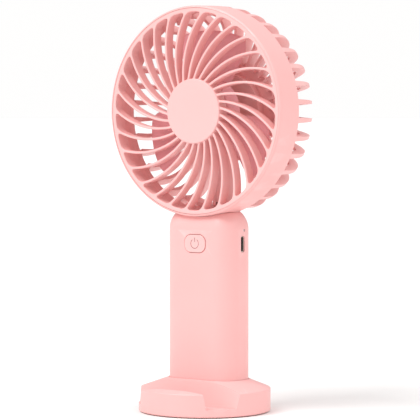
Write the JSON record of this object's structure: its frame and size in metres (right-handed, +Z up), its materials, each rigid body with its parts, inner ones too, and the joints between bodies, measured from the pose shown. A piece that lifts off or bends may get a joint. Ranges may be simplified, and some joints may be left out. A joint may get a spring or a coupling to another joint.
{
  "type": "handheld electric fan",
  "caption": "Handheld rechargeable fan with a round swirl grille, ribbed rear guard and flat oval handle, standing in a round base with a phone groove.",
  "frame": {"origin": "centre of the base's underside, on the surface that the anti-slip pads stand on", "axes": "+Z up along the handle, the fan blows towards -Y, the charging inlet faces +X"},
  "size_m": [0.1006, 0.0632, 0.1937],
  "materials": {
    "pink_shell": "satin moulded ABS, pastel pink",
    "pink_light": "satin moulded ABS, slightly lighter pastel pink",
    "pink_rotor": "satin moulded plastic, deeper rose pink",
    "mark_mauve": "printed mark, mauve grey",
    "white_plastic": "moulded, matt",
    "black_plastic": "moulded, matt",
    "clear_plastic": "translucent, tinted",
    "pad_rubber": "soft anti-slip",
    "lead_jacket": "silicone jacket",
    "board_green": "solder mask",
    "cell_sleeve": "shrunk sleeve",
    "cell_steel": "nickel plated, drawn",
    "screw_steel": "zinc plated",
    "shaft_steel": "ground",
    "stator_steel": "stamped laminations, varnished",
    "nickel": "bright plated",
    "magnet_dark": "bonded ferrite",
    "coil_copper": "enamelled copper wire",
    "tube_brass": "turned",
    "bush_bronze": "sintered, oil filled"
  },
  "bodies": {
    "base": {"base_shell": "pink_shell", "base_plate": "pink_shell", "base_screws": "screw_steel", "base_pads": "pad_rubber"},
    "fan": {"handle_shell": "pink_shell", "handle_bottom_cap": "pink_shell", "cap_screws": "screw_steel", "inner_frame": "white_plastic", "battery_cell": "cell_steel", "battery_sleeve": "cell_sleeve", "battery_tabs": "nickel", "battery_leads": "lead_jacket", "circuit_board": "board_green", "board_chips": "black_plastic", "charge_led": "clear_plastic", "light_pipe": "clear_plastic", "usb_inlet": "nickel", "usb_tongue": "black_plastic", "switch_body": "black_plastic", "head_shell": "pink_shell", "neck_screws": "screw_steel", "front_grille": "pink_light", "rear_grille": "pink_shell", "lead_cover": "pink_shell", "bearing_tube": "tube_brass", "bushings": "bush_bronze", "stator_core": "stator_steel", "stator_coils": "coil_copper", "motor_board": "board_green", "motor_leads": "lead_jacket"},
    "button": {"power_button": "pink_light", "power_icon": "mark_mauve", "switch_plunger": "white_plastic"},
    "rotor": {"impeller": "pink_rotor", "rotor_cup": "cell_steel", "ring_magnet": "magnet_dark", "rotor_shaft": "shaft_steel", "shaft_clip": "nickel"}
  },
  "joints": [
    {"name": "fan_lift", "type": "slide", "parent": "base", "child": "fan", "axis": [0, 0, 1], "range_m": [0, 0.03]},
    {"name": "rotor_spin", "type": "hinge", "parent": "fan", "child": "rotor", "pos_m": [0, 0, 0.1434], "axis": [0, -1, 0], "continuous": true},
    {"name": "power_press", "type": "slide", "parent": "fan", "child": "button", "axis": [0, 1, 0], "range_m": [0, 0.0006], "stiffness_N_per_m": 1500}
  ]
}
